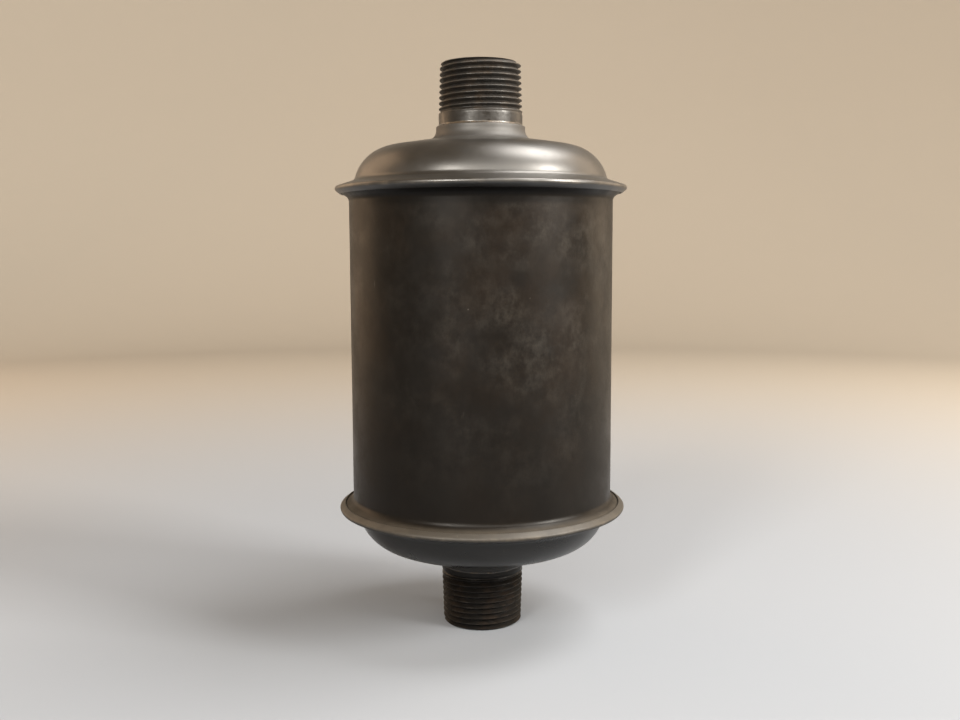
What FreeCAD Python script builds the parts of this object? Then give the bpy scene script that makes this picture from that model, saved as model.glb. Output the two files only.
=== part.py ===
"""In-line compressed air filter: a sealed sheet-steel canister with a threaded pipe nipple at each end.

Millimetres, +Z up along the axis. The origin is the centre of the outlet nipple's open end, on which
the canister stands. Air enters at the top nipple, passes inwards through the pleated element and leaves
through the bottom nipple. Both ends of the shell are the same parts, turned end for end.
"""

import FreeCAD
import Part

import math
import os

# Driving dimensions
PIPE_BORE_R = 10.465       # 3/4 inch nominal pipe
THREADS_PER_INCH = 14
INLET_THREAD = 16.3        # length of each nipple's thread
OUTLET_THREAD = 18.1
NIPPLE_LENGTH = 29.0
BODY_R = 42.6              # outside radius of the canister wall
RIM_R = 47.07              # outside radius of both clinched rims
SHEET = 0.6                # thickness of the canister wall and of both heads
OVERALL_HEIGHT = 183.4
RIM_SPACING = 104.1        # between the middles of the two rims
FIT_GAP = 0.01             # gap left between faces that are clinched or brazed together

# Pipe thread, taper 1 in 16 on the diameter
THREAD_PITCH = 25.4 / THREADS_PER_INCH
THREAD_TAPER = 1.0 / 32.0
THREAD_TIP_R = 13.015      # crest radius at the open end
THREAD_DEPTH = 1.30
THREAD_ROOT_FLAT = 0.14
THREAD_CLEARANCE = 0.1     # how far the cutter stands out of the blank
THREAD_HALF_ANGLE = math.radians(30.0)
SHANK_R = 13.5
END_CHAMFER = 0.7          # on the radius, outside the thread's open end
END_CHAMFER_RISE = 1.1
MOUTH_CHAMFER = 0.5
POINTS_PER_TURN = 20

# Head, measured outwards from the middle of its rim
NECK_GAP = 0.25            # between the nipple and the neck, filled by braze
NECK_TIP = 19.6
NECK_FILLET = 3.4
CROWN_HEIGHT = 15.65       # at the neck
CROWN_SLOPE = 0.16
KNUCKLE_R = 13.4
KNUCKLE_CENTRE_R = 27.6
ROOT_FILLET = 2.0          # between the dome and the flange of the rim
FLANGE_SLOPE = 18.0        # degrees that the flange falls towards its edge
LIP_R = 0.85               # outside radius of the rim's folded edge
LIP_LEVEL = -0.2
HEM_SLOPE = 38.0           # degrees of the folded edge and of the flared wall
HEM_LENGTH = 1.5
FLARE_R = 2.2              # outside radius of the bend at each end of the wall
CORD_R = 0.9               # half the thickness of the sealing cord in each rim
BRAZE_FILLET = 0.75
BRAZE_TOE = 250            # degrees round the fillet at which the braze ends on the neck's lip

# Outlet funnel, from the inner end of the outlet nipple up to the element's seat
FUNNEL_COLLAR = 3.5        # how far it overlaps the nipple
FUNNEL_STEP = 0.3          # of its outer face above the nipple's end
FUNNEL_MOUTH_R = 17.0
FUNNEL_MOUTH_CHAMFER = 0.8
FUNNEL_BEND = (1.6, 0.6)   # outer corner under the flange: radius beyond the mouth, and height
FLANGE_R = 27.0
SEAT_LEVEL = 37.75         # top face of the funnel's flange

# Pleated element
TIN = 0.6                  # thickness of the element's sheet parts
CAP_R = 34.7
CAP_RIM = 6.0
CORE_R = 15.0
SCREEN_R = 33.9
SCREEN_SHEET = 0.5
POTTING = 3.0
PLEATS = 32
PAPER = 0.6
PLEAT_OUTER_R = 32.8
PLEAT_INNER_R = 16.0
PLEAT_BEND_R = 0.6         # of the middle of the paper
GASKET = (18.5, 26.0)      # inside and outside radius
GASKET_THICKNESS = 2.5
ELEMENT_HEIGHT = 95.75
CAP_CHAMFER = 0.5
CORE_COLLAR = 5.0          # height of the collar that stands in the core tube
HOLE_ROWS = 11
CORE_HOLES = (2.4, 8)      # radius of each hole, and how many in a row
SCREEN_HOLES = (3.0, 22)
PUNCH_REACH = 2.0          # how far a punch goes through, each side of the sheet
CLIP_GAP = 1.02            # half the space between the clip's legs
CLIP_SHEET = 0.3
CLIP_DEPTH = 5.0
CLIP_MARGIN = 1.0          # between the ends of the clip and those of the paper

# Parts on the upper cap
LUGS = 4
LUG_GAP = 0.3              # between a lug and the canister wall
LUG_WIDTH = 9.0
LUG_DROP = 7.0
CENTRING_BORE_R = 29.0
LOCATOR_BORE_R = 14.5
LOCATOR_RIM = 2.6
LOCATOR_GAP = 1.4          # between the spring's foot and the locator's rim
LOCATOR_CHAMFER = 0.4

# Spring
WIRE = 2.0
SPRING_MEAN_R = 18.0
SPRING_TOP = 158.05
CLOSED_TURNS = 1.0         # at each end
CLOSED_RISE = 2.04         # height that a closed turn gains, a little over the wire
ACTIVE_TURNS = 3.5

INLET_RIM = OVERALL_HEIGHT / 2.0 + RIM_SPACING / 2.0
OUTLET_RIM = OVERALL_HEIGHT / 2.0 - RIM_SPACING / 2.0
CAP_LEVEL = SEAT_LEVEL + GASKET_THICKNESS
TOP_LEVEL = CAP_LEVEL + ELEMENT_HEIGHT
SHEET_ENDS = (CAP_LEVEL + TIN, TOP_LEVEL - TIN)
PAPER_ENDS = (SHEET_ENDS[0] + POTTING, SHEET_ENDS[1] - POTTING)
SPRING_FOOT = TOP_LEVEL + TIN

ORIGIN = FreeCAD.Vector(0, 0, 0)
UP = FreeCAD.Vector(0, 0, 1)


# Geometry helpers. Profiles are drawn as (radius, height) pairs and turned about the Z axis.

def polar(centre, radius, degrees):
    angle = math.radians(degrees)
    return (centre[0] + radius * math.cos(angle), centre[1] + radius * math.sin(angle))


def arc(centre, radius, start, end):
    """An arc as three points, from the start angle to the end angle, in degrees."""
    return [polar(centre, radius, a) for a in (start, (start + end) / 2.0, end)]


def profile_wire(steps):
    """A closed wire through points and arcs, with straight edges wherever they do not already meet."""
    spans = [step if isinstance(step, list) else [step] for step in steps]
    edges = []
    for this, following in zip(spans, spans[1:] + spans[:1]):
        here = [FreeCAD.Vector(r, 0, z) for r, z in this]
        there = FreeCAD.Vector(following[0][0], 0, following[0][1])
        if len(here) == 3:
            edges.append(Part.Arc(*here).toShape())
        if (there - here[-1]).Length > 1e-6:
            edges.append(Part.LineSegment(here[-1], there).toShape())
    return Part.Wire(edges)


def turned(*steps):
    return Part.Face(profile_wire(steps)).revolve(ORIGIN, UP, 360)


def ring(inner, outer, low, high):
    return turned((inner, low), (outer, low), (outer, high), (inner, high))


def at_inlet(shape):
    """Places an end part, drawn outwards from the middle of its rim, at the inlet end."""
    placed = shape.copy()
    placed.translate(FreeCAD.Vector(0, 0, INLET_RIM))
    return placed


def at_outlet(shape):
    placed = shape.copy()
    placed.rotate(ORIGIN, FreeCAD.Vector(1, 0, 0), 180)
    placed.translate(FreeCAD.Vector(0, 0, OUTLET_RIM))
    return placed


def swept_solid(spine, section):
    """Sweeps a closed section along a line, keeping it upright."""
    sweep = Part.BRepOffsetAPI.MakePipeShell(Part.Wire(spine))
    sweep.setBiNormalMode(UP)
    sweep.add(section, False, False)
    sweep.build()
    sweep.makeSolid()
    return sweep.shape()


def radial_holes(tube, radius, hole_r, around, levels):
    """Punches staggered rows of round holes through the wall of a tube."""
    punches = []
    for row, level in enumerate(levels):
        for k in range(around):
            angle = 2.0 * math.pi * (k + 0.5 * (row % 2)) / around
            outwards = FreeCAD.Vector(math.cos(angle), math.sin(angle), 0)
            start = outwards * (radius - PUNCH_REACH) + UP * level
            punches.append(Part.makeCylinder(hole_r, 2 * PUNCH_REACH, start, outwards))
    return tube.cut(punches)


def spaced(low, high, count):
    step = (high - low) / count
    return [low + step * (k + 0.5) for k in range(count)]


# Shell

def rim_geometry():
    """Centres of the arcs that the head and the flared wall share at a rim."""
    tan, cos = math.tan(CROWN_SLOPE), math.cos(CROWN_SLOPE)
    neck_r = SHANK_R + NECK_GAP + SHEET
    neck = (neck_r + NECK_FILLET, CROWN_HEIGHT - NECK_FILLET * tan + NECK_FILLET / cos)
    knuckle = (KNUCKLE_CENTRE_R,
               CROWN_HEIGHT - (KNUCKLE_CENTRE_R - neck_r) * tan - KNUCKLE_R / cos)
    lip = (RIM_R - LIP_R, LIP_LEVEL)
    beside = polar(lip, LIP_R + ROOT_FILLET, 90 - FLANGE_SLOPE)
    away = (beside[0] - knuckle[0], beside[1] - knuckle[1])
    inwards = polar((0, 0), 1.0, 180 - FLANGE_SLOPE)
    along = away[0] * inwards[0] + away[1] * inwards[1]
    reach = KNUCKLE_R + ROOT_FILLET
    run = -along - math.sqrt(along ** 2 - away[0] ** 2 - away[1] ** 2 + reach ** 2)
    root = (beside[0] + run * inwards[0], beside[1] + run * inwards[1])
    return neck, knuckle, root, lip, flare_centre(lip)


def flare_centre(lip):
    """Centre of the bend that takes the wall out along the inside of the folded edge."""
    hem = math.radians(HEM_SLOPE)
    drop = LIP_R - SHEET - FIT_GAP + FLARE_R
    centre_r = BODY_R + FLARE_R
    along = (centre_r - lip[0] - drop * math.sin(hem)) / math.cos(hem)
    return (centre_r, lip[1] - drop * math.cos(hem) + along * math.sin(hem))


def head():
    """Pressed dome with a drawn neck. Its edge is folded round the flared end of the wall."""
    neck, knuckle, root, lip, _ = rim_geometry()
    crown = math.degrees(CROWN_SLOPE)
    flange = 90 - FLANGE_SLOPE
    inner_r = SHANK_R + NECK_GAP
    join = math.degrees(math.atan2(root[1] - knuckle[1], root[0] - knuckle[0]))
    tip = (inner_r + SHEET / 2.0, NECK_TIP - SHEET / 2.0)
    hem_start = polar(lip, LIP_R, HEM_SLOPE - 90)
    hem_end = polar(hem_start, HEM_LENGTH, HEM_SLOPE + 180)
    return turned(
        arc(tip, SHEET / 2.0, 180, 0),
        arc(neck, NECK_FILLET, 180, 270 - crown),
        arc(knuckle, KNUCKLE_R, 90 - crown, join),
        arc(root, ROOT_FILLET, join + 180, flange + 180),
        arc(lip, LIP_R, flange, HEM_SLOPE - 90),
        hem_end,
        polar(hem_end, SHEET, HEM_SLOPE + 90),
        arc(lip, LIP_R - SHEET, HEM_SLOPE - 90, flange),
        arc(root, ROOT_FILLET + SHEET, flange + 180, join + 180),
        arc(knuckle, KNUCKLE_R - SHEET, join, 90 - crown),
        arc(neck, NECK_FILLET + SHEET, 270 - crown, 180),
    )


def canister_wall():
    """Straight tube whose two ends flare outwards into the rims."""
    _, _, _, lip, flare = rim_geometry()
    edge_out = polar(lip, LIP_R - SHEET - FIT_GAP, HEM_SLOPE - 90)
    edge_in = polar(edge_out, SHEET, HEM_SLOPE + 90)

    def top(point):
        return (point[0], INLET_RIM + point[1])

    def bottom(point):
        return (point[0], OUTLET_RIM - point[1])

    outer = arc(top(flare), FLARE_R, 180, 90 + HEM_SLOPE)
    inner = arc(top(flare), FLARE_R + SHEET, 90 + HEM_SLOPE, 180)
    low_inner = arc(bottom(flare), FLARE_R + SHEET, 180, 270 - HEM_SLOPE)
    low_outer = arc(bottom(flare), FLARE_R, 270 - HEM_SLOPE, 180)
    return turned(outer, top(edge_out), top(edge_in), inner,
                  low_inner, bottom(edge_in), bottom(edge_out), low_outer)


def seam_cord():
    """Round sealing cord in the corner between the flange and the flared wall, touching both."""
    lip = rim_geometry()[3]
    to_flange = LIP_R - SHEET - CORD_R - FIT_GAP
    to_flare = 2 * SHEET - LIP_R + CORD_R + 2 * FIT_GAP
    flange = polar((0, 0), 1.0, 90 - FLANGE_SLOPE)
    flare = polar((0, 0), 1.0, 90 + HEM_SLOPE)
    spread = math.sin(math.radians(FLANGE_SLOPE + HEM_SLOPE))
    centre_r = lip[0] + (to_flange * flare[1] - to_flare * flange[1]) / spread
    centre_z = lip[1] + (to_flare * flange[0] - to_flange * flare[0]) / spread
    return Part.makeTorus(centre_r, CORD_R, FreeCAD.Vector(0, 0, centre_z), UP)


def braze_ring():
    """Braze that fills the gap round the nipple and lies as a fillet on the neck's lip."""
    inner_r = SHANK_R + NECK_GAP
    lip = (inner_r + SHEET / 2.0, NECK_TIP - SHEET / 2.0)
    hollow = (SHANK_R + BRAZE_FILLET, NECK_TIP + BRAZE_FILLET)
    start = CROWN_HEIGHT - SHEET
    return turned((SHANK_R, start), (inner_r, start), arc(lip, SHEET / 2.0, 180, 90),
                  arc(hollow, BRAZE_FILLET, BRAZE_TOE, 180))


def thread_groove(open_end, length):
    """Right-handed V groove along a tapered helix, from one turn outside the open end to the shank."""
    start_r = THREAD_TIP_R - THREAD_DEPTH - THREAD_PITCH * THREAD_TAPER
    taper = math.degrees(math.atan(THREAD_TAPER))
    spine = Part.makeHelix(THREAD_PITCH, length + THREAD_PITCH, start_r, taper)
    reach = THREAD_DEPTH + THREAD_CLEARANCE
    half_root = THREAD_ROOT_FLAT / 2.0
    half_mouth = half_root + reach * math.tan(THREAD_HALF_ANGLE)
    corners = [FreeCAD.Vector(start_r, 0, half_root), FreeCAD.Vector(start_r, 0, -half_root),
               FreeCAD.Vector(start_r + reach, 0, -half_mouth),
               FreeCAD.Vector(start_r + reach, 0, half_mouth)]
    groove = swept_solid(spine, Part.makePolygon(corners + corners[:1]))
    groove.rotate(ORIGIN, FreeCAD.Vector(1, 0, 0), 180)
    groove.translate(UP * (open_end + THREAD_PITCH))
    return groove


def nipple(thread_length):
    """Pipe nipple with a tapered thread, a plain shank and a bore right through."""
    open_end = OVERALL_HEIGHT - INLET_RIM
    inner_end = open_end - NIPPLE_LENGTH
    shank_at = open_end - thread_length
    cone = Part.makeCone(SHANK_R, THREAD_TIP_R, thread_length, UP * shank_at)
    shank = Part.makeCylinder(SHANK_R, shank_at - inner_end, UP * inner_end)
    threaded = cone.cut(thread_groove(open_end, thread_length)).fuse(shank)
    passage = turned(
        (0, inner_end), (PIPE_BORE_R + MOUTH_CHAMFER, inner_end),
        (PIPE_BORE_R, inner_end + MOUTH_CHAMFER), (PIPE_BORE_R, open_end - MOUTH_CHAMFER),
        (PIPE_BORE_R + MOUTH_CHAMFER, open_end), (0, open_end),
    )
    end_chamfer = turned(
        (THREAD_TIP_R - END_CHAMFER, open_end), (SHANK_R, open_end - END_CHAMFER_RISE),
        (SHANK_R, open_end),
    )
    return threaded.cut(passage).cut(end_chamfer)


def outlet_funnel():
    """Pressed funnel, brazed round the outlet nipple, whose flange is the element's seat."""
    inner_end = NIPPLE_LENGTH
    collar_foot = inner_end - FUNNEL_COLLAR
    mouth = FUNNEL_MOUTH_R
    bend_r, bend_drop = FUNNEL_BEND
    return turned(
        (SHANK_R, collar_foot), (SHANK_R + SHEET, collar_foot),
        (SHANK_R + SHEET, inner_end + FUNNEL_STEP),
        (mouth + SHEET / 2.0 + bend_drop, SEAT_LEVEL - SHEET - bend_drop),
        (mouth + bend_r, SEAT_LEVEL - SHEET), (FLANGE_R, SEAT_LEVEL - SHEET),
        (FLANGE_R, SEAT_LEVEL), (mouth + FUNNEL_MOUTH_CHAMFER, SEAT_LEVEL),
        (mouth, SEAT_LEVEL - FUNNEL_MOUTH_CHAMFER), (SHANK_R, inner_end + 2 * FUNNEL_STEP),
    )


# Filter element

def seat_gasket():
    return ring(*GASKET, SEAT_LEVEL, CAP_LEVEL)


def lower_cap():
    """Open cap: an upturned rim outside and a collar that centres the core tube."""
    core_bore = CORE_R - TIN
    collar_top = CAP_LEVEL + CORE_COLLAR
    return turned(
        (core_bore - TIN, collar_top), (core_bore - TIN, CAP_LEVEL + CAP_CHAMFER),
        (core_bore - TIN + CAP_CHAMFER, CAP_LEVEL), (CAP_R - CAP_CHAMFER, CAP_LEVEL),
        (CAP_R, CAP_LEVEL + CAP_CHAMFER), (CAP_R, CAP_LEVEL + CAP_RIM),
        (CAP_R - TIN, CAP_LEVEL + CAP_RIM), (CAP_R - TIN, CAP_LEVEL + TIN),
        (core_bore, CAP_LEVEL + TIN), (core_bore, collar_top),
    )


def upper_cap():
    """Closed cap with a downturned rim."""
    return turned(
        (0, TOP_LEVEL - TIN), (CAP_R - TIN, TOP_LEVEL - TIN),
        (CAP_R - TIN, TOP_LEVEL - CAP_RIM), (CAP_R, TOP_LEVEL - CAP_RIM),
        (CAP_R, TOP_LEVEL - CAP_CHAMFER), (CAP_R - CAP_CHAMFER, TOP_LEVEL), (0, TOP_LEVEL),
    )


def potting(low):
    """Disc of adhesive that holds the paper, core and screen in a cap."""
    return ring(CORE_R, SCREEN_R - SCREEN_SHEET, low, low + POTTING)


def core_tube():
    tube = ring(CORE_R - TIN, CORE_R, *SHEET_ENDS)
    return radial_holes(tube, CORE_R, *CORE_HOLES, spaced(*PAPER_ENDS, HOLE_ROWS))


def outer_screen():
    tube = ring(SCREEN_R - SCREEN_SHEET, SCREEN_R, *SHEET_ENDS)
    return radial_holes(tube, SCREEN_R, *SCREEN_HOLES, spaced(*PAPER_ENDS, HOLE_ROWS))


def pleat_wire(side):
    """One face of the pleated paper: side is +1 for the outer face and -1 for the inner one."""
    outer = FreeCAD.Vector(PLEAT_OUTER_R - PAPER / 2.0 - PLEAT_BEND_R, 0, 0)
    step = math.pi / PLEATS
    inner_at = PLEAT_INNER_R + PAPER / 2.0 + PLEAT_BEND_R
    inner = FreeCAD.Vector(inner_at * math.cos(step), inner_at * math.sin(step), 0)
    span = inner - outer
    lean = math.asin(2.0 * PLEAT_BEND_R / span.Length)
    normal = math.atan2(span.y, span.x) - math.pi / 2.0 + lean
    outer_r = PLEAT_BEND_R + side * PAPER / 2.0
    inner_r = PLEAT_BEND_R - side * PAPER / 2.0

    def around(centre, radius, angle):
        return centre + FreeCAD.Vector(radius * math.cos(angle), radius * math.sin(angle), 0)

    def turned_by(point, angle):
        return FreeCAD.Rotation(UP, math.degrees(angle)).multVec(point)

    leave = around(outer, outer_r, normal)
    enter = FreeCAD.Vector(leave.x, -leave.y, 0)
    crest = around(outer, outer_r, 0)
    arrive = around(inner, inner_r, normal + math.pi)
    trough = around(inner, inner_r, step + math.pi)
    depart = turned_by(FreeCAD.Vector(arrive.x, -arrive.y, 0), 2.0 * step)
    edges = []
    for k in range(PLEATS):
        turn = 2.0 * step * k
        a, b, c, d, e, f = (turned_by(p, turn) for p in (enter, crest, leave, arrive, trough, depart))
        edges.append(Part.Arc(a, b, c).toShape())
        edges.append(Part.LineSegment(c, d).toShape())
        edges.append(Part.Arc(d, e, f).toShape())
        edges.append(Part.LineSegment(f, turned_by(enter, turn + 2.0 * step)).toShape())
    return Part.Wire(edges)


def pleated_paper():
    sheet = Part.Face(pleat_wire(1)).cut(Part.Face(pleat_wire(-1)))
    paper = sheet.extrude(UP * (PAPER_ENDS[1] - PAPER_ENDS[0])).Solids[0]
    paper.translate(UP * PAPER_ENDS[0])
    return paper


def pleat_clip():
    """Folded metal strip that closes the ends of the paper over one pleat."""
    back = PLEAT_OUTER_R + CLIP_SHEET / 3.0
    half_width = CLIP_GAP + CLIP_SHEET
    low, high = PAPER_ENDS[0] + CLIP_MARGIN, PAPER_ENDS[1] - CLIP_MARGIN
    folded = Part.makeBox(CLIP_DEPTH + CLIP_SHEET, 2 * half_width, high - low,
                          FreeCAD.Vector(back - CLIP_DEPTH, -half_width, low))
    gap = Part.makeBox(2 * CLIP_DEPTH, 2 * CLIP_GAP, high - low,
                       FreeCAD.Vector(back - 2 * CLIP_DEPTH, -CLIP_GAP, low))
    return folded.cut(gap)


def centring_ring():
    """Flat ring on the upper cap with four downturned lugs that guide the element in the canister."""
    lug_r = BODY_R - SHEET - LUG_GAP
    foot, top = TOP_LEVEL - LUG_DROP, TOP_LEVEL + TIN
    lugs = ring(lug_r - TIN, lug_r, foot, top)
    plate = ring(CENTRING_BORE_R, lug_r - TIN, TOP_LEVEL, top)
    disc = ring(CENTRING_BORE_R, CAP_R, TOP_LEVEL, top)
    arms = []
    for k in range(LUGS):
        window = Part.makeBox(lug_r, LUG_WIDTH, LUG_DROP + 2 * TIN,
                              FreeCAD.Vector(CENTRING_BORE_R, -LUG_WIDTH / 2.0, foot))
        window.rotate(ORIGIN, UP, 360.0 * (k + 0.5) / LUGS)
        arms.append(lugs.fuse(plate).common(window))
    return disc.fuse(arms).removeSplitter()


def spring_locator():
    """Dished washer on the upper cap that keeps the spring's foot central."""
    rim_r = SPRING_MEAN_R + WIRE / 2.0 + LOCATOR_GAP
    return turned(
        (LOCATOR_BORE_R, TOP_LEVEL), (rim_r - LOCATOR_CHAMFER, TOP_LEVEL),
        (rim_r, TOP_LEVEL + LOCATOR_CHAMFER), (rim_r, TOP_LEVEL + LOCATOR_RIM),
        (rim_r - TIN, TOP_LEVEL + LOCATOR_RIM), (rim_r - TIN, TOP_LEVEL + TIN),
        (LOCATOR_BORE_R, TOP_LEVEL + TIN),
    )


def element_spring():
    """Compression spring with closed, ground ends. It presses the element down on its seat."""
    height = SPRING_TOP - SPRING_FOOT
    turns = ACTIVE_TURNS + 2 * CLOSED_TURNS
    rise = height - WIRE / 2.0 - 2 * CLOSED_TURNS * CLOSED_RISE
    count = int(turns * POINTS_PER_TURN)
    points = []
    for k in range(count + 1):
        turn = turns * k / count
        share = min(1.0, max(0.0, (turn - CLOSED_TURNS) / ACTIVE_TURNS))
        closed = min(turn, CLOSED_TURNS) + max(0.0, turn - CLOSED_TURNS - ACTIVE_TURNS)
        level = SPRING_FOOT + WIRE / 4.0 + closed * CLOSED_RISE + rise * share
        angle = 2.0 * math.pi * turn
        points.append(FreeCAD.Vector(SPRING_MEAN_R * math.cos(angle),
                                     SPRING_MEAN_R * math.sin(angle), level))
    across = FreeCAD.Vector(0, 1, 0)
    section = Part.Wire(Part.Circle(points[0], across, WIRE / 2.0).toShape())
    spine = Part.BSplineCurve()
    spine.interpolate(points)
    coil = swept_solid(spine.toShape(), section)
    reach = SPRING_MEAN_R + WIRE
    ground = Part.makeCylinder(reach, height, FreeCAD.Vector(0, 0, SPRING_FOOT))
    return coil.common(ground)


def build():
    end_head, end_cord, end_braze = head(), seam_cord(), braze_ring()
    return {
        "canister_wall": canister_wall(),
        "inlet_head": at_inlet(end_head),
        "outlet_head": at_outlet(end_head),
        "inlet_nipple": at_inlet(nipple(INLET_THREAD)),
        "outlet_nipple": at_outlet(nipple(OUTLET_THREAD)),
        "inlet_seam_cord": at_inlet(end_cord),
        "outlet_seam_cord": at_outlet(end_cord),
        "inlet_braze_ring": at_inlet(end_braze),
        "outlet_braze_ring": at_outlet(end_braze),
        "outlet_funnel": outlet_funnel(),
        "seat_gasket": seat_gasket(),
        "element_lower_cap": lower_cap(),
        "element_upper_cap": upper_cap(),
        "lower_potting": potting(SHEET_ENDS[0]),
        "upper_potting": potting(SHEET_ENDS[1] - POTTING),
        "core_tube": core_tube(),
        "outer_screen": outer_screen(),
        "pleated_paper": pleated_paper(),
        "pleat_clip": pleat_clip(),
        "centring_ring": centring_ring(),
        "spring_locator": spring_locator(),
        "element_spring": element_spring(),
    }


os.makedirs("parts", exist_ok=True)
for name, shape in build().items():
    if shape.ShapeType == "Compound" and len(shape.Solids) == 1:
        shape = shape.Solids[0]
    print(name, shape.ShapeType, len(shape.Solids), "solid", shape.isValid(), round(shape.Volume, 1))
    shape.exportStep(os.path.join("parts", name + ".step"))
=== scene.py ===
"""Looks of the in-line compressed air filter: dark baked-enamel canister, pipe threads and inner element.

Shapes are worked out in millimetres in the CAD frame and scaled to metres as each mesh is made.
"""

import math

import bmesh
import bpy
from mathutils import Matrix, Vector, noise


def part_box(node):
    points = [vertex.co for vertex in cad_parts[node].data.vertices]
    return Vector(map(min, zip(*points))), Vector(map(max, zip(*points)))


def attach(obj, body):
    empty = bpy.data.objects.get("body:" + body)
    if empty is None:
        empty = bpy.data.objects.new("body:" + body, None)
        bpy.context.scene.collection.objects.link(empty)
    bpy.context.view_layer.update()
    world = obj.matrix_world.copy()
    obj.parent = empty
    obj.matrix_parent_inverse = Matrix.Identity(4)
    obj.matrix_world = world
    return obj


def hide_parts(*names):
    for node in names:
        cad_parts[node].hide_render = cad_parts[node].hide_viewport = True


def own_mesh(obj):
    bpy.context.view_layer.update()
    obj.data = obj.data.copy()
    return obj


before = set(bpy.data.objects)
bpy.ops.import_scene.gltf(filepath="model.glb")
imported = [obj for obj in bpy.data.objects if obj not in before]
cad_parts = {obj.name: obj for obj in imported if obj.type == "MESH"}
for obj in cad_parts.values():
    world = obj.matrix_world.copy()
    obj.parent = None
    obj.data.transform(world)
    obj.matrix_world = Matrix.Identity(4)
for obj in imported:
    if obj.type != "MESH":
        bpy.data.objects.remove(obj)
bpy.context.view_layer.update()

MM = 0.001
WELD = 1e-6                # metres
ROUND = 288                # segments round the axis


def box_mm(node):
    low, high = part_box(node)
    return Vector(low) / MM, Vector(high) / MM


# Places taken from the frame, in millimetres
HEIGHT = box_mm("inlet_nipple")[1].z
NIPPLE_LENGTH = HEIGHT - box_mm("inlet_nipple")[0].z
RIM_R = min(box_mm("inlet_head")[1].x, box_mm("inlet_head")[1].y)
NECK_TOP = box_mm("inlet_head")[1].z
SPRING_FOOT = box_mm("element_spring")[0].z
SPRING_TOP = box_mm("element_spring")[1].z

# Sizes that the CAD model shares, in millimetres
RIM_SPACING = 104.1
BODY_R = 42.6
SHEET = 0.6
NECK_GAP = 0.25
CROWN_HEIGHT = 15.65
CROWN_SLOPE = 0.16         # radians
KNUCKLE_R = 13.4
KNUCKLE_CENTRE_R = 27.6
NECK_FILLET = 3.4
ROOT_FILLET = 2.0
FLANGE_SLOPE = 18.0        # degrees
LIP_R = 0.85
LIP_LEVEL = -0.2
HEM_SLOPE = 38.0           # degrees
HEM_LENGTH = 1.5
FLARE_R = 2.2
FIT_GAP = 0.01
SHANK_R = 13.5
BORE_R = 10.465
MOUTH_CHAMFER = 0.5
END_CHAMFER = 0.7
END_CHAMFER_SLOPE = 1.3    # gain in radius for each millimetre of depth
PITCH = 25.4 / 14
TAPER = 1.0 / 32.0
TIP_R = 13.015
INLET_THREAD = 16.3
OUTLET_THREAD = 18.1
THREAD_DEPTH = 1.3
ROOT_FLAT = 0.14
FLANK_SLOPE = math.tan(math.radians(30.0))    # half the groove's width for each millimetre of its depth
BEAD_R = 0.75
WIRE = 2.0
COIL_PITCH = WIRE * 1.02   # of the closed turns
SPRING_MEAN_R = 18.0
CLOSED_TURNS = 1.0
ACTIVE_TURNS = 3.5

# Wear and unevenness that only the visual model has, in millimetres
WALL_WAVES = ((0.05, 22.0, 3.0), (0.02, 7.0, 40.0))    # height, spacing and seed
WALL_STILL = 5.0           # distance from a rim where the waves start
WALL_FREE = 12.0           # distance from a rim where they are full
CROWN_WAVE = 0.06
CROWN_INNER = (16.5, 20.0)     # radii over which the crown's wave grows
CROWN_OUTER = (41.5, 36.0)     # and dies
EDGE_WEAR = 0.03
EDGE_WIDTH = 0.9
RUNOUT_START = 2.0         # distance before the thread's end where the groove starts to fade
RUNOUT_END = 0.4           # and after it, where it is gone
CREST_WEAR = 0.05
CREST_END = 1.5
NICK_START = 0.52          # noise level over which a crest is nicked
NICK_DEPTH = 0.7           # for each unit of noise above that
THREAD_MARGIN = 0.6        # how far the helical rows go on past the thread
BEAD_SAG = 0.12
BEAD_WAVE = 0.14

INLET_RIM = (HEIGHT + RIM_SPACING) / 2.0
OUTLET_RIM = (HEIGHT - RIM_SPACING) / 2.0
NECK_TIP = NECK_TOP - INLET_RIM
OPEN_END = HEIGHT - INLET_RIM


# Profiles: lists of (radius, height), in millimetres

def arc(centre, radius, start, end, steps):
    points = []
    for k in range(steps + 1):
        angle = math.radians(start + (end - start) * k / steps)
        points.append((centre[0] + radius * math.cos(angle), centre[1] + radius * math.sin(angle)))
    return points


def line(start, end, steps):
    return [(start[0] + (end[0] - start[0]) * k / steps, start[1] + (end[1] - start[1]) * k / steps)
            for k in range(1, steps)]


def polar(centre, radius, degrees):
    return arc(centre, radius, degrees, degrees, 1)[0]


def rim_centres():
    """Centres of the arcs of a head and of the wall's flare, measured outwards from the rim."""
    tan, cos = math.tan(CROWN_SLOPE), math.cos(CROWN_SLOPE)
    neck_r = SHANK_R + NECK_GAP + SHEET
    neck = (neck_r + NECK_FILLET, CROWN_HEIGHT - NECK_FILLET * tan + NECK_FILLET / cos)
    knuckle = (KNUCKLE_CENTRE_R, CROWN_HEIGHT - (KNUCKLE_CENTRE_R - neck_r) * tan - KNUCKLE_R / cos)
    lip = (RIM_R - LIP_R, LIP_LEVEL)
    beside = Vector(polar(lip, LIP_R + ROOT_FILLET, 90 - FLANGE_SLOPE))
    inwards = Vector(polar((0, 0), 1.0, 180 - FLANGE_SLOPE))
    away = beside - Vector(knuckle)
    along = away.dot(inwards)
    run = -along - math.sqrt(along ** 2 - away.dot(away) + (KNUCKLE_R + ROOT_FILLET) ** 2)
    root = tuple(beside + run * inwards)
    hem = math.radians(HEM_SLOPE)
    drop = LIP_R - SHEET - FIT_GAP + FLARE_R
    back = (BODY_R + FLARE_R - lip[0] - drop * math.sin(hem)) / math.cos(hem)
    flare = (BODY_R + FLARE_R, lip[1] - drop * math.cos(hem) + back * math.sin(hem))
    return neck, knuckle, root, lip, flare


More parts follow.
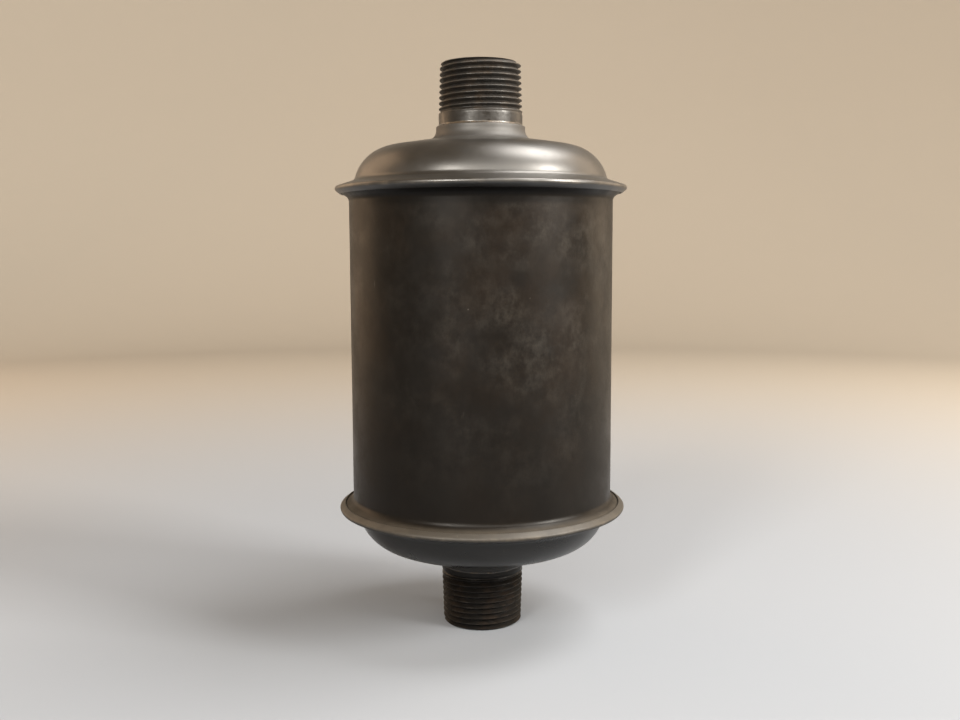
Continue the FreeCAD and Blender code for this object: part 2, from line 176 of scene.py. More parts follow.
def head_profile():
    """Section of a head, outwards from its rim: outside from the neck to the lip, then back inside."""
    neck, knuckle, root, lip, _ = rim_centres()
    crown = math.degrees(CROWN_SLOPE)
    flange = 90 - FLANGE_SLOPE
    join = math.degrees(math.atan2(root[1] - knuckle[1], root[0] - knuckle[0]))
    tip = (SHANK_R + NECK_GAP + SHEET / 2.0, NECK_TIP - SHEET / 2.0)
    hem_end = polar(polar(lip, LIP_R, HEM_SLOPE - 90), HEM_LENGTH, HEM_SLOPE + 180)
    hem_edge = polar(hem_end, SHEET / 2.0, HEM_SLOPE + 90)
    outer_neck = arc(neck, NECK_FILLET, 180, 270 - crown, steps=14)
    dome = arc(knuckle, KNUCKLE_R, 90 - crown, join, steps=26)
    outer_root = arc(root, ROOT_FILLET, join + 180, flange + 180, steps=12)
    outer_lip = arc(lip, LIP_R, flange, HEM_SLOPE - 90, steps=14)
    inner_root = arc(root, ROOT_FILLET + SHEET, flange + 180, join + 180, steps=8)
    inner_dome = arc(knuckle, KNUCKLE_R - SHEET, join, 90 - crown, steps=20)
    inner_neck = arc(neck, NECK_FILLET + SHEET, 270 - crown, 180, steps=8)
    return (arc(tip, SHEET / 2.0, 180, 0, steps=8) + outer_neck
            + line(outer_neck[-1], dome[0], steps=12) + dome
            + outer_root + line(outer_root[-1], outer_lip[0], steps=6) + outer_lip
            + arc(hem_edge, SHEET / 2.0, HEM_SLOPE - 90, HEM_SLOPE - 270, steps=6)
            + arc(lip, LIP_R - SHEET, HEM_SLOPE - 90, flange, steps=6)
            + inner_root + inner_dome + line(inner_dome[-1], inner_neck[0], steps=12) + inner_neck)


def wall_profile():
    """Section of the wall: straight between two flares that end inside the folded rims."""
    _, _, _, lip, flare = rim_centres()
    folded = polar(lip, LIP_R - 1.5 * SHEET - FIT_GAP, HEM_SLOPE - 90)
    outer = arc(flare, FLARE_R, 180, 90 + HEM_SLOPE, steps=10)
    inner = arc(flare, FLARE_R + SHEET, 90 + HEM_SLOPE, 180, steps=8)
    end = arc(folded, SHEET / 2.0, HEM_SLOPE - 90, HEM_SLOPE + 90, steps=6)
    half = outer + line(outer[-1], end[0], steps=5) + end + line(end[-1], inner[0], steps=5) + inner
    upper = [(r, INLET_RIM + z) for r, z in half]
    lower = [(r, OUTLET_RIM - z) for r, z in reversed(half)]
    return (upper + line(upper[-1], lower[0], steps=60) + lower
            + line(lower[-1], upper[0], steps=60))


# Meshes

def make_object(name, mesh_bm, body, material, sharp=32.0):
    """Welds the mesh, shades it smooth except at edges over sharp degrees, and puts it on a body."""
    bmesh.ops.remove_doubles(mesh_bm, verts=mesh_bm.verts, dist=WELD)
    bmesh.ops.recalc_face_normals(mesh_bm, faces=mesh_bm.faces)
    mesh = bpy.data.meshes.new(name)
    mesh_bm.to_mesh(mesh)
    mesh_bm.free()
    mesh.shade_smooth()
    mesh.set_sharp_from_angle(angle=math.radians(sharp))
    mesh.materials.append(material)
    obj = bpy.data.objects.new(name, mesh)
    bpy.context.scene.collection.objects.link(obj)
    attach(obj, body)
    return obj


def spin(r, angle, z):
    return Vector((r * math.cos(angle), r * math.sin(angle), z))


def grid(rows, closed, ring=True, bm=None):
    """Quads between rows of points; ring closes each row, closed joins the last row to the first."""
    bm = bm or bmesh.new()
    lines = [[bm.verts.new(p * MM) for p in row] for row in rows]
    pairs = list(zip(lines, lines[1:])) + ([(lines[-1], lines[0])] if closed else [])
    for a, b in pairs:
        for i in range(len(a) if ring else len(a) - 1):
            j = (i + 1) % len(a)
            bm.faces.new((a[i], a[j], b[j], b[i]))
    return bm


def circle(r, z):
    return [spin(r, 2.0 * math.pi * k / ROUND, z) for k in range(ROUND)]


def lathe(profile, shift):
    """Turns a closed profile round the axis; shift(r, angle, z) gives each point's radius and height."""
    rows = []
    for r, z in profile:
        row = []
        for k in range(ROUND):
            angle = 2.0 * math.pi * k / ROUND
            moved_r, moved_z = shift(r, angle, z)
            row.append(spin(moved_r, angle, moved_z))
        rows.append(row)
    return grid(rows, closed=True)


def at_end(mesh_bm, inlet):
    """Moves an end part, drawn outwards from its rim, to the inlet or the outlet end."""
    if inlet:
        place = Matrix.Translation((0, 0, INLET_RIM * MM))
    else:
        place = Matrix.Translation((0, 0, OUTLET_RIM * MM)) @ Matrix.Rotation(math.pi, 4, "X")
    mesh_bm.transform(place)
    return mesh_bm


def ripple(r, angle, z, size, seed):
    """Smooth noise from -1 to 1 at a point of the surface; size is its spacing in millimetres."""
    return noise.noise(spin(r, angle, z + seed) / size)


def smooth_step(low, high, value):
    """0 at low and 1 at high, which may be the smaller one."""
    t = min(1.0, max(0.0, (value - low) / (high - low)))
    return t * t * (3.0 - 2.0 * t)


# Small dents in the wall: angle in degrees, height, width and depth in millimetres
WALL_DENTS = ((-62, 88, 4.0, 0.16), (-112, 60, 5.5, 0.12), (30, 110, 6.0, 0.2), (140, 75, 7.0, 0.22),
              (205, 120, 5.0, 0.15))
# Nicks in the rims: angle in degrees, width in degrees and depth in millimetres
RIM_NICKS = ((-70, 3.0, 0.18), (-128, 2.0, 0.12), (15, 4.0, 0.2), (98, 2.5, 0.15), (170, 5.0, 0.22))
NICK_TURN = 37.0           # degrees between the nicks of the two rims


def wall_shift(r, angle, z):
    """Waves and dents of the wall, clear of its flares."""
    clear = smooth_step(OUTLET_RIM + WALL_STILL, OUTLET_RIM + WALL_FREE, z)
    clear *= smooth_step(INLET_RIM - WALL_STILL, INLET_RIM - WALL_FREE, z)
    move = sum(high * ripple(r, angle, z, spacing, seed) for high, spacing, seed in WALL_WAVES)
    for place, level, width, depth in WALL_DENTS:
        aside = (angle - math.radians(place) + math.pi) % (2.0 * math.pi) - math.pi
        away = (aside * BODY_R) ** 2 + (z - level) ** 2
        move -= depth * math.exp(-away / width ** 2)
    return r + move * clear, z


def head_shift(seed):
    """Wave of a head's crown and nicks in its rim; seed turns the nicks round the axis."""
    def shift(r, angle, z):
        crown = smooth_step(*CROWN_OUTER, r) * smooth_step(*CROWN_INNER, r)
        level = z + CROWN_WAVE * crown * ripple(r, angle, 0.0, 16.0, seed)
        edge = smooth_step(RIM_R - EDGE_WIDTH, RIM_R, r)
        dent = EDGE_WEAR + EDGE_WEAR * ripple(r, angle, 0.0, 9.0, seed + 5.0)
        for place, width, depth in RIM_NICKS:
            aside = (math.degrees(angle) - place - seed * NICK_TURN + 180) % 360 - 180
            dent += depth * math.exp(-(aside / width) ** 2)
        return r - edge * dent, level
    return shift


def thread_radius(turn, depth, length, angle, seed):
    """Radius of the nipple's outside; turn counts the groove's pitches from the open end."""
    crest = min(TIP_R + depth * TAPER, SHANK_R)
    mouth = ROOT_FLAT / 2.0 + THREAD_DEPTH * FLANK_SLOPE
    offset = abs((turn + 0.5) % 1.0 - 0.5) * PITCH
    groove = (mouth - offset) / FLANK_SLOPE
    fade = smooth_step(length + RUNOUT_END, length - RUNOUT_START, depth)
    cut = min(THREAD_DEPTH, max(0.0, groove)) * fade
    worn = CREST_WEAR + CREST_WEAR * ripple(crest, angle, depth, 3.0, seed)
    nick = max(0.0, ripple(crest, angle, depth * 1.5, 2.2, seed + 9.0) - NICK_START) * NICK_DEPTH
    threaded = smooth_step(length, length - CREST_END, depth)
    return crest - max(cut, (worn + nick) * threaded)


def nipple_mesh(length, seed):
    """Pipe nipple whose rows of faces follow the thread, so that each row ends one turn along."""
    inner_end = OPEN_END - NIPPLE_LENGTH
    rows_per_turn = 14
    rows = (int(length / PITCH) + 3) * rows_per_turn
    thread_end = length + THREAD_MARGIN
    outer = []
    for j in range(rows + 1):
        row = []
        for k in range(ROUND + 1):
            part = k / ROUND
            angle = 2.0 * math.pi * k / ROUND
            depth = min(thread_end, max(0.0, (j / rows_per_turn - part) * PITCH))
            r = thread_radius(depth / PITCH + part, depth, length, angle, seed)
            r = min(r, TIP_R - END_CHAMFER + depth * END_CHAMFER_SLOPE)
            row.append(spin(r, angle, OPEN_END - depth))
        outer.append(row)
    shank = OPEN_END - thread_end - 1.0
    inner = [(SHANK_R, shank), (SHANK_R, shank - 2.0), (SHANK_R, inner_end + MOUTH_CHAMFER),
             (SHANK_R - MOUTH_CHAMFER, inner_end), (BORE_R + MOUTH_CHAMFER, inner_end),
             (BORE_R, inner_end + MOUTH_CHAMFER), (BORE_R, OPEN_END - MOUTH_CHAMFER),
             (BORE_R + MOUTH_CHAMFER, OPEN_END)]
    plain = [outer[-1][:-1]] + [circle(r, z) for r, z in inner] + [outer[0][:-1]]
    return grid(plain, closed=False, bm=grid(outer, closed=False, ring=False))


def braze_mesh(seed):
    """Uneven bead of braze round the nipple, lying on the neck's lip."""
    inner_r = SHANK_R + NECK_GAP
    lip = (inner_r + SHEET / 2.0, NECK_TIP - SHEET / 2.0)
    start = CROWN_HEIGHT - SHEET
    bead = arc((SHANK_R + BEAD_R, NECK_TIP + BEAD_R), BEAD_R, 250, 180, steps=8)
    profile = [(SHANK_R, start), (inner_r, start)] + arc(lip, SHEET / 2.0, 180, 90, steps=6) + bead

    def shift(r, angle, z):
        top = smooth_step(NECK_TIP + 0.05, NECK_TIP + 0.5, z)
        return r, z - top * (BEAD_SAG + BEAD_WAVE * ripple(r, angle, 0.0, 4.0, seed))
    return lathe(profile, shift)


def spring_mesh():
    """Spring wire with closed, ground ends."""
    turns = ACTIVE_TURNS + 2.0 * CLOSED_TURNS
    per_turn = 72
    sides = 20
    rise = SPRING_TOP - SPRING_FOOT - 0.5 * WIRE - 2.0 * CLOSED_TURNS * COIL_PITCH
    rows = []
    for j in range(int(turns * per_turn) + 1):
        turn = j / per_turn
        share = min(1.0, max(0.0, (turn - CLOSED_TURNS) / ACTIVE_TURNS))
        closed = min(turn, CLOSED_TURNS) + max(0.0, turn - CLOSED_TURNS - ACTIVE_TURNS)
        level = SPRING_FOOT + WIRE / 4.0 + closed * COIL_PITCH + rise * share
        row = []
        for i in range(sides):
            round_wire = 2.0 * math.pi * i / sides
            r = SPRING_MEAN_R + WIRE / 2.0 * math.cos(round_wire)
            z = level + WIRE / 2.0 * math.sin(round_wire)
            row.append(spin(r, 2.0 * math.pi * turn, min(SPRING_TOP, max(SPRING_FOOT, z))))
        rows.append(row)
    bm = grid(rows, closed=False)
    bm.verts.ensure_lookup_table()
    bm.faces.new(bm.verts[:sides])
    bm.faces.new(bm.verts[-sides:])
    return bm


# Materials

class Finish:
    """A material built round one Principled shader, with textures in the piece's own coordinates."""

    def __init__(self, name, colour, roughness, metallic=0.0):
        self.material = bpy.data.materials.new(name)
        self.material.use_nodes = True
        self.tree = self.material.node_tree
        self.shader = self.tree.nodes["Principled BSDF"]
        self.shader.inputs["Base Color"].default_value = (*colour, 1.0)
        self.shader.inputs["Roughness"].default_value = roughness
        self.shader.inputs["Metallic"].default_value = metallic
        self.place = self.tree.nodes.new("ShaderNodeTexCoord").outputs["Object"]

    def node(self, kind, **values):
        made = self.tree.nodes.new(kind)
        for key, value in values.items():
            setattr(made, key, value)
        return made

    def link(self, output, socket):
        self.tree.links.new(output, socket)

    def set(self, socket, value):
        self.shader.inputs[socket].default_value = value

    def stretched(self, scale):
        """The piece's coordinates times scale, so that a pattern is longer where scale is under 1."""
        mapping = self.node("ShaderNodeMapping")
        mapping.inputs["Scale"].default_value = scale
        self.link(self.place, mapping.inputs["Vector"])
        return mapping.outputs["Vector"]

    def noise(self, size, detail=4.0, rough=0.55, stretch=None, warp=0.0):
        """Noise from 0 to 1 whose features are about size millimetres apart."""
        made = self.node("ShaderNodeTexNoise")
        made.inputs["Scale"].default_value = 1.0 / (size * MM)
        made.inputs["Detail"].default_value = detail
        made.inputs["Roughness"].default_value = rough
        made.inputs["Distortion"].default_value = warp
        self.link(self.stretched(stretch) if stretch else self.place, made.inputs["Vector"])
        return made.outputs["Fac"]

    def span(self, value, low, high, to_low=0.0, to_high=1.0):
        """Smooth step of value: to_low at low and to_high at high."""
        made = self.node("ShaderNodeMapRange", interpolation_type="SMOOTHSTEP")
        made.inputs["From Min"].default_value = low
        made.inputs["From Max"].default_value = high
        made.inputs["To Min"].default_value = to_low
        made.inputs["To Max"].default_value = to_high
        self.link(value, made.inputs["Value"])
        return made.outputs["Result"]

    def math(self, operation, a, b=None):
        made = self.node("ShaderNodeMath", operation=operation)
        for socket, value in zip(made.inputs, (a, b)):
            if isinstance(value, (int, float)):
                socket.default_value = value
            elif value is not None:
                self.link(value, socket)
        return made.outputs["Value"]

    def times(self, first, *others):
        for value in others:
            first = self.math("MULTIPLY", first, value)
        return first

    def rest(self, value):
        """What value leaves of 1."""
        return self.math("SUBTRACT", 1.0, value)

    def mix(self, factor, a, b):
        """Colour a where factor is 0 and colour b where it is 1."""
        made = self.node("ShaderNodeMix", data_type="RGBA")
        for socket, value in ((made.inputs[0], factor), (made.inputs[6], a), (made.inputs[7], b)):
            if isinstance(value, tuple):
                socket.default_value = (*value, 1.0)
            elif isinstance(value, (int, float)):
                socket.default_value = value
            else:
                self.link(value, socket)
        return made.outputs[2]

    def uneven(self, size, low, high, detail=4.0):
        """Roughness that wanders between low and high."""
        return self.span(self.noise(size, detail), 0.3, 0.7, low, high)

    def axis_parts(self):
        """The piece's x, its distance from the axis and its height, in metres."""
        split = self.node("ShaderNodeSeparateXYZ")
        self.link(self.place, split.inputs[0])
        x, y, z = split.outputs
        radius = self.math("SQRT", self.math("ADD", self.times(x, x), self.times(y, y)))
        return x, radius, z

    def bump(self, height, depth):
        """Bump whose full height is depth millimetres."""
        made = self.node("ShaderNodeBump")
        made.inputs["Strength"].default_value = 1.0
        made.inputs["Distance"].default_value = depth * MM
        self.link(height, made.inputs["Height"])
        self.link(made.outputs["Normal"], self.shader.inputs["Normal"])

    def use(self, colour, roughness=None):
        self.link(colour, self.shader.inputs["Base Color"])
        if roughness is not None:
            self.link(roughness, self.shader.inputs["Roughness"])
        return self.material


# Colours of dirt and wear on the enamel, and of painted shade, painted sheen and painted highlight
DUST = (0.165, 0.150, 0.128)
LEDGE_DUST_AND_SHEEN = (0.165, 0.140, 0.108)
MARK = (0.20, 0.185, 0.16)
UNDER_RIM_SHADE = (0.0012, 0.0010, 0.0008)
RUBBED_EDGE_AND_HIGHLIGHT = (0.085, 0.070, 0.052)


def enamel_film(f, x, z, shaded, dust):
    """Thin film of dust, thicker to the right and near the top, where the filter has been handled."""
    patches = f.span(f.noise(15.0, detail=3.0, rough=0.5), 0.34, 0.66)
    grains = f.span(f.noise(4.2, detail=9.0, rough=0.75, stretch=(1.0, 1.0, 0.75)), 0.36, 0.74)
    to_right = f.span(x, -0.042, 0.016, 0.25, 1.0)
    to_top = f.span(z, 0.050, 0.092, 0.2, 1.0)
    return f.times(patches, grains, f.times(to_right, to_top), dust, f.rest(shaded))


def enamel_marks(f):
    """A few pale specks and short upright scratches."""
    speck = f.span(f.noise(1.5, detail=2.0, rough=0.5, stretch=(1.0, 1.0, 0.6)), 0.765, 0.80)
    speck = f.times(speck, f.span(f.noise(13.0, detail=1.0), 0.55, 0.62))
    scratch = f.span(f.noise(2.2, detail=2.0, rough=0.5, stretch=(1.0, 0.8, 0.16)), 0.73, 0.80)
    scratch = f.times(scratch, f.span(f.noise(12.0, detail=1.0), 0.56, 0.66, 0.0, 0.6))
    return f.times(f.math("MAXIMUM", speck, scratch), 0.25)


def enamel(name, colour, brown, rough_low, rough_high, gloss, dust):
    """Baked black-brown enamel on sheet steel: mottled, dusty, scratched and worn bare by rubbing at the
    rims, with painted shade under the upper rim, painted sheen on the lower flare and a painted highlight
    on the rim edges.
    """
    f = Finish(name, colour, rough_low)
    x, radius, z = f.axis_parts()

    # Masks: the dark band under the upper rim (painted shade), the lower flare that gets dust and painted
    # sheen, the neck, and the edge that gets wear and a painted highlight
    shaded = f.times(f.span(z, (INLET_RIM - 7.0) * MM, (INLET_RIM - 5.0) * MM),
                     f.span(z, (INLET_RIM + 1.0) * MM, (INLET_RIM - 1.0) * MM))
    ledge = f.times(f.span(radius, (BODY_R + 0.3) * MM, (BODY_R + 2.0) * MM),
                    f.span(z, (OUTLET_RIM + 6.0) * MM, (OUTLET_RIM + 2.0) * MM))
    neck = f.span(radius, (SHANK_R + 7.0) * MM, (SHANK_R + 3.0) * MM)
    edge = f.span(radius, (RIM_R - 0.5) * MM, (RIM_R - 0.02) * MM)

    mottle = f.span(f.noise(26.0, detail=5.0, rough=0.6), 0.38, 0.66)
    mottle = f.times(mottle, f.span(z, 0.045, 0.10, 0.3, 1.0))
    film = enamel_film(f, x, z, shaded, dust)
    marks = enamel_marks(f)
    # Paler colour on the lower flare: settled dust and a painted sheen where the upward-facing flare
    # catches light
    ledge_dust_and_sheen = f.times(ledge, f.span(z, (OUTLET_RIM - 0.6) * MM, (OUTLET_RIM + 0.6) * MM),
                      f.span(f.noise(7.0, detail=5.0, rough=0.6), 0.30, 0.70, 0.6, 1.0))
    # Paler colour on the rim edges: wear and a painted highlight on the lip
    rubbed_and_highlight = f.times(edge, f.span(f.noise(6.0, detail=5.0, rough=0.65), 0.45, 0.70))
    base = f.mix(mottle, colour, brown)
    base = f.mix(film, base, DUST)
    base = f.mix(marks, base, MARK)
    base = f.mix(f.times(ledge_dust_and_sheen, 0.17), base, LEDGE_DUST_AND_SHEEN)
    # Painted shade: near-black colour in the band under the upper rim, where the rim's shadow falls
    base = f.mix(f.times(shaded, 0.7), base, UNDER_RIM_SHADE)
    base = f.mix(f.times(rubbed_and_highlight, 0.45), base, RUBBED_EDGE_AND_HIGHLIGHT)

    fine = f.noise(1.1, detail=3.0, rough=0.6)
    spread = f.math("ADD", f.times(f.noise(11.0, detail=6.0, rough=0.6), 0.8), f.times(fine, 0.2))
    rough = f.math("ADD", f.span(spread, 0.35, 0.65, rough_low, rough_high), f.times(film, 0.35))
    rough = f.math("ADD", rough, f.times(f.math("MAXIMUM", neck, ledge), 0.22))
    f.set("Specular IOR Level", gloss)
    height = f.math("ADD", f.times(fine, 0.55), f.times(f.noise(4.0, detail=3.0), 0.9))
    height = f.math("SUBTRACT", height, f.times(marks, 0.4))
    f.bump(height, 0.015)
    return f.use(base, rough)


def thread_finish(name, oxide, brown, crest, gloss):
    """Dull oxide on the pipe, brown in the thread, with a smoother enamelled shank."""
    f = Finish(name, oxide, 0.6)
    _, radius, z = f.axis_parts()
    from_end = f.math("MINIMUM", z, f.math("SUBTRACT", HEIGHT * MM, z))
    shank = f.span(from_end, (INLET_THREAD - 1.2) * MM, (INLET_THREAD + 0.4) * MM)
    thread = f.rest(shank)
    stain = f.span(f.noise(5.0, detail=6.0, rough=0.65, warp=0.4), 0.46, 0.66)
    base = f.mix(f.times(stain, thread), oxide, brown)
    # Painted shade: darker colour in the thread's roots
    groove_shade = f.rest(f.span(radius, (SHANK_R - 1.6) * MM, (SHANK_R - 0.8) * MM))
    base = f.mix(f.times(groove_shade, 0.6), base, tuple(c / 2.0 for c in oxide))
    outermost = f.times(f.span(radius, (SHANK_R - 0.8) * MM, (SHANK_R - 0.4) * MM), thread)
    rub = f.times(outermost, f.span(f.noise(2.2, detail=4.0, rough=0.6), 0.50, 0.66))
    base = f.mix(f.times(rub, 0.35), base, crest)
    rough = f.math("SUBTRACT", f.uneven(1.4, 0.44, 0.66), f.times(shank, 0.16))
    f.set("Specular IOR Level", gloss)
    f.bump(f.noise(0.6, detail=4.0, rough=0.65), 0.02)
    return f.use(base, rough)


def braze_finish():
    """Braze under a thin coat of enamel, browner in patches."""
    f = Finish("braze_under_enamel", (0.025, 0.021, 0.018), 0.34)
    base = f.mix(f.span(f.noise(3.0), 0.42, 0.62), (0.020, 0.018, 0.016), (0.050, 0.036, 0.022))
    f.set("Coat Weight", 0.2)
    f.bump(f.noise(1.2, detail=3.0), 0.05)
    return f.use(base, f.uneven(2.0, 0.24, 0.46))


def zinc_finish():
    """Dull zinc-plated sheet, with faint rolling lines and yellowish stains."""
    f = Finish("zinc_plated_sheet", (0.56, 0.55, 0.50), 0.36, 1.0)
    stain = f.span(f.noise(9.0, detail=6.0, rough=0.6, warp=0.5), 0.42, 0.68)
    base = f.mix(stain, (0.60, 0.59, 0.55), (0.44, 0.40, 0.28))
    f.bump(f.noise(0.7, detail=3.0, rough=0.6, stretch=(1.0, 0.08, 1.0)), 0.012)
    return f.use(base, f.uneven(3.0, 0.28, 0.50, detail=5.0))


def spring_finish():
    f = Finish("oiled_spring_steel", (0.16, 0.16, 0.165), 0.34, 1.0)
    base = f.mix(f.span(f.noise(4.0, detail=5.0), 0.45, 0.66), (0.15, 0.15, 0.155), (0.10, 0.075, 0.055))
    f.bump(f.noise(0.5, detail=3.0, rough=0.6), 0.01)
    return f.use(base, f.uneven(1.6, 0.26, 0.46))


def rubber_finish(name, colour):
    """Matt rubber with a paler bloom in patches."""
    f = Finish(name, colour, 0.7)
    paler = tuple(c * 2.6 + 0.01 for c in colour)
    bloom = f.mix(f.span(f.noise(3.0, detail=6.0), 0.50, 0.70), colour, paler)
    f.bump(f.noise(0.35, detail=4.0, rough=0.6), 0.02)
    return f.use(bloom, f.uneven(1.5, 0.62, 0.82))


def potting_finish():
    f = Finish("cast_adhesive", (0.21, 0.19, 0.15), 0.5)
    base = f.mix(f.span(f.noise(5.0, detail=5.0), 0.4, 0.65), (0.24, 0.22, 0.17), (0.15, 0.13, 0.10))
    f.bump(f.noise(2.5, detail=3.0), 0.12)
    return f.use(base, f.uneven(2.0, 0.40, 0.62))


def paper_finish():
    """Resin-treated paper: straw-coloured fibres, a little darker where dust has been caught."""
    f = Finish("pleated_filter_paper", (0.66, 0.56, 0.36), 0.85)
    _, radius, _ = f.axis_parts()
    fibre = f.noise(0.35, detail=6.0, rough=0.7, stretch=(1.0, 1.0, 0.35))
    base = f.mix(f.span(fibre, 0.35, 0.68), (0.70, 0.60, 0.40), (0.55, 0.45, 0.27))
    soot = f.times(f.span(radius, 0.024, 0.033), f.span(f.noise(7.0, detail=5.0), 0.35, 0.65))
    base = f.mix(f.times(soot, 0.6), base, (0.20, 0.17, 0.12))
    f.set("Sheen Weight", 0.15)
    f.bump(fibre, 0.06)
    return f.use(base)


WALL_FINISH = enamel("wall_baked_enamel", (0.0034, 0.0027, 0.0021), (0.0066, 0.0044, 0.0028),
                     rough_low=0.34, rough_high=0.46, gloss=0.13, dust=0.10)
HEAD_FINISHES = {
    "inlet": enamel("inlet_head_enamel", (0.0050, 0.0041, 0.0031), (0.0080, 0.0062, 0.0042),
                    rough_low=0.33, rough_high=0.41, gloss=0.88, dust=0.03),
    # Darker, less glossy copy of the inlet head's finish: painted shade on the lower head, which lies in
    # shadow
    "outlet": enamel("outlet_head_enamel_painted_shade", (0.0036, 0.0032, 0.0028), (0.0056, 0.0046, 0.0036),
                     rough_low=0.26, rough_high=0.34, gloss=0.44, dust=0.03),
}
THREAD_FINISHES = {
    "inlet": thread_finish("inlet_pipe_oxide", oxide=(0.0080, 0.0068, 0.0056),
                           brown=(0.018, 0.012, 0.007), crest=(0.040, 0.033, 0.025), gloss=0.45),
    # Darker, less glossy copy of the inlet pipe's finish: painted shade on the lower pipe, which lies in
    # the body's shadow
    "outlet": thread_finish("outlet_pipe_oxide_painted_shade", oxide=(0.0034, 0.0028, 0.0023),
                            brown=(0.009, 0.006, 0.004), crest=(0.022, 0.017, 0.012), gloss=0.16),
}
BRAZE_FINISH = braze_finish()
ZINC_FINISH = zinc_finish()
CAD_FINISHES = {
    "inlet_seam_cord": rubber_finish("sealing_cord_rubber", (0.020, 0.018, 0.016)),
    "seat_gasket": rubber_finish("gasket_rubber", (0.012, 0.012, 0.012)),
    "lower_potting": potting_finish(),
    "pleated_paper": paper_finish(),
    "outlet_funnel": ZINC_FINISH,
    "element_lower_cap": ZINC_FINISH,
    "element_upper_cap": ZINC_FINISH,
    "core_tube": ZINC_FINISH,
    "outer_screen": ZINC_FINISH,
    "pleat_clip": ZINC_FINISH,
    "centring_ring": ZINC_FINISH,
    "spring_locator": ZINC_FINISH,
}
CAD_FINISHES["outlet_seam_cord"] = CAD_FINISHES["inlet_seam_cord"]
CAD_FINISHES["upper_potting"] = CAD_FINISHES["lower_potting"]


def add_pieces():
    """The visual pieces that stand in for CAD nodes, the spring among them."""
    wall = make_object("canister_wall_sheet", lathe(wall_profile(), wall_shift), "shell", WALL_FINISH)
    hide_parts("canister_wall")
    for seed, end in enumerate(("inlet", "outlet")):
        inlet = end == "inlet"
        dome = at_end(lathe(head_profile(), head_shift(seed)), inlet)
        dome = make_object(end + "_dome", dome, "shell", HEAD_FINISHES[end])
        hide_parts(end + "_head")
        pipe = at_end(nipple_mesh(INLET_THREAD if inlet else OUTLET_THREAD, 20.0 * seed), inlet)
        pipe = make_object(end + "_threaded_pipe", pipe, "shell", THREAD_FINISHES[end], sharp=24.0)
        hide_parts(end + "_nipple")
        bead = at_end(braze_mesh(11.0 * seed), inlet)
        bead = make_object(end + "_braze_bead", bead, "shell", BRAZE_FINISH)
        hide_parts(end + "_braze_ring")
    spring = make_object("element_spring_wire", spring_mesh(), "shell", spring_finish())
    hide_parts("element_spring")
    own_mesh(spring)


def finish_cad_nodes():
    for name, material in CAD_FINISHES.items():
        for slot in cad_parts[name].material_slots:
            slot.material = material


# Stage, light and camera

# Stage sizes in millimetres
FLOOR_R = 950.0
SWEEP_BEND = 350.0
SWEEP_TOP = 2400.0
FLOOR_COLOUR = (0.180, 0.196, 0.222)
SWEEP_COLOUR = (0.33, 0.295, 0.250)
COLOUR_CHANGE = (0.10, 0.85)   # metres from the axis

# Lamps: place in metres, size in metres, power in watts and colour
LAMP_TARGET = (0.0, 0.0, 0.14)
LAMPS = {
    "lamp_right": ((0.88, -0.40, 0.56), (0.32, 0.46), 24.0, (1.0, 0.94, 0.85)),
    "lamp_left": ((-0.43, -0.84, 0.56), (0.24, 0.46), 13.0, (1.0, 0.94, 0.85)),
    "front": ((0.30, -0.80, 0.70), (1.2, 0.44), 10.0, (1.0, 0.94, 0.85)),
    "overhead": ((0.42, 0.06, 0.95), (0.50, 0.50), 13.0, (1.0, 0.95, 0.88)),
    "warm_left": ((-0.78, 0.44, 0.45), (0.60, 0.90), 3.2, (1.0, 0.66, 0.40)),
    "warm_right": ((0.80, 0.42, 0.45), (0.50, 0.90), 3.2, (1.0, 0.78, 0.56)),
}
SKY_COLOUR = (0.86, 0.70, 0.52)
SKY_STRENGTH = 0.30

# Camera: place in metres, angles in degrees, lens and sensor in millimetres
CAMERA_PLACE = (0.0, -0.3494, 0.1255)
CAMERA_PITCH = -6.163
CAMERA_YAW = 0.079
CAMERA_ROLL = -0.223
LENS = 39.9
SENSOR = 36.0
NEAREST = 0.01             # metres


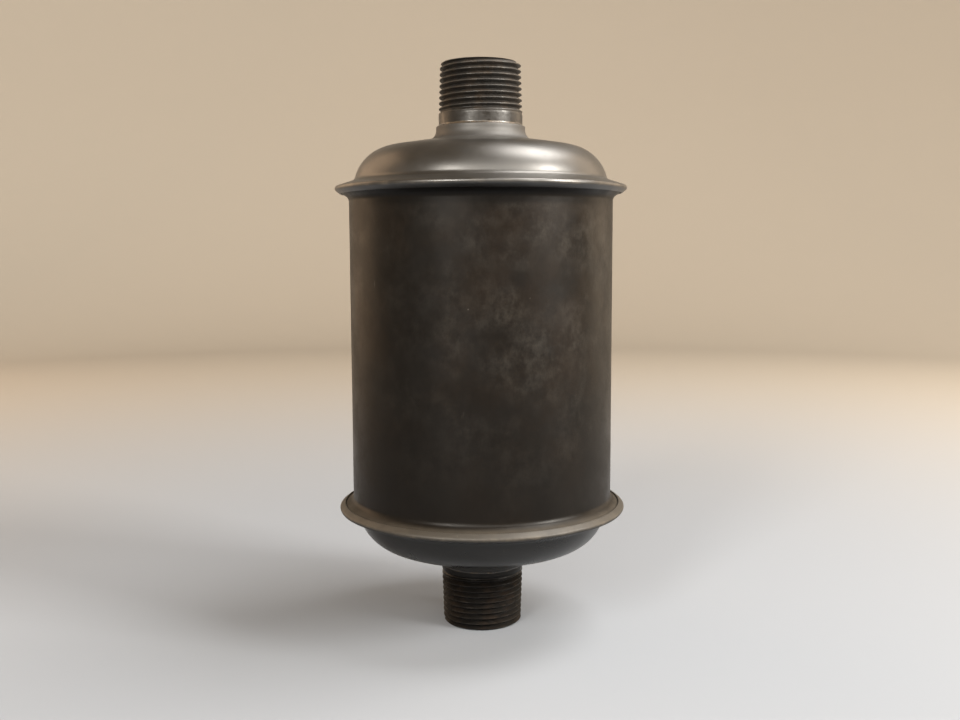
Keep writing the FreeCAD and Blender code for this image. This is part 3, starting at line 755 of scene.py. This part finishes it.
def add_sweep():
    """Seamless pale floor, cool under the filter, that curves up into a warmer wall all round it."""
    bend = arc((FLOOR_R, SWEEP_BEND), SWEEP_BEND, -90, 0, steps=24)
    profile = [(1.0, 0.0)] + bend + [(FLOOR_R + SWEEP_BEND, SWEEP_TOP)]
    bm = grid([circle(r, z) for r, z in profile], closed=False)
    bm.verts.ensure_lookup_table()
    bm.faces.new(bm.verts[:ROUND])
    mesh = bpy.data.meshes.new("studio_sweep")
    bm.to_mesh(mesh)
    bm.free()
    mesh.shade_smooth()
    f = Finish("pale_sweep", FLOOR_COLOUR, 0.85)
    _, radius, _ = f.axis_parts()
    mesh.materials.append(f.use(f.mix(f.span(radius, *COLOUR_CHANGE), FLOOR_COLOUR, SWEEP_COLOUR)))
    obj = bpy.data.objects.new("studio_sweep", mesh)
    bpy.context.scene.collection.objects.link(obj)


def add_lamp(name, place, size, power, colour):
    light = bpy.data.lights.new(name, "AREA")
    light.shape = "RECTANGLE"
    light.size, light.size_y = size
    light.energy = power
    light.color = colour
    obj = bpy.data.objects.new(name, light)
    obj.location = place
    obj.rotation_euler = (Vector(LAMP_TARGET) - Vector(place)).to_track_quat("-Z", "Y").to_euler()
    obj.visible_camera = False
    bpy.context.scene.collection.objects.link(obj)


def add_lights():
    """Soft lamps in front and above, two warm panels behind at the sides, and a dim even sky."""
    for name, values in LAMPS.items():
        add_lamp(name, *values)
    world = bpy.data.worlds.new("studio")
    world.use_nodes = True
    background = world.node_tree.nodes["Background"]
    background.inputs["Color"].default_value = (*SKY_COLOUR, 1.0)
    background.inputs["Strength"].default_value = SKY_STRENGTH
    bpy.context.scene.world = world
    bpy.context.scene.view_settings.view_transform = "Standard"


def add_camera():
    data = bpy.data.cameras.new("camera")
    data.sensor_width = SENSOR
    data.lens = LENS
    data.clip_start = NEAREST
    camera = bpy.data.objects.new("camera", data)
    turn = (Matrix.Rotation(math.radians(CAMERA_YAW), 4, "Z")
            @ Matrix.Rotation(math.radians(90.0 + CAMERA_PITCH), 4, "X")
            @ Matrix.Rotation(math.radians(CAMERA_ROLL), 4, "Z"))
    camera.matrix_world = Matrix.Translation(CAMERA_PLACE) @ turn
    bpy.context.scene.collection.objects.link(camera)
    bpy.context.scene.camera = camera


add_pieces()
finish_cad_nodes()
add_sweep()
add_lights()
add_camera()


def plain(bounds):
    return [[float(v) for v in corner] for corner in bounds]
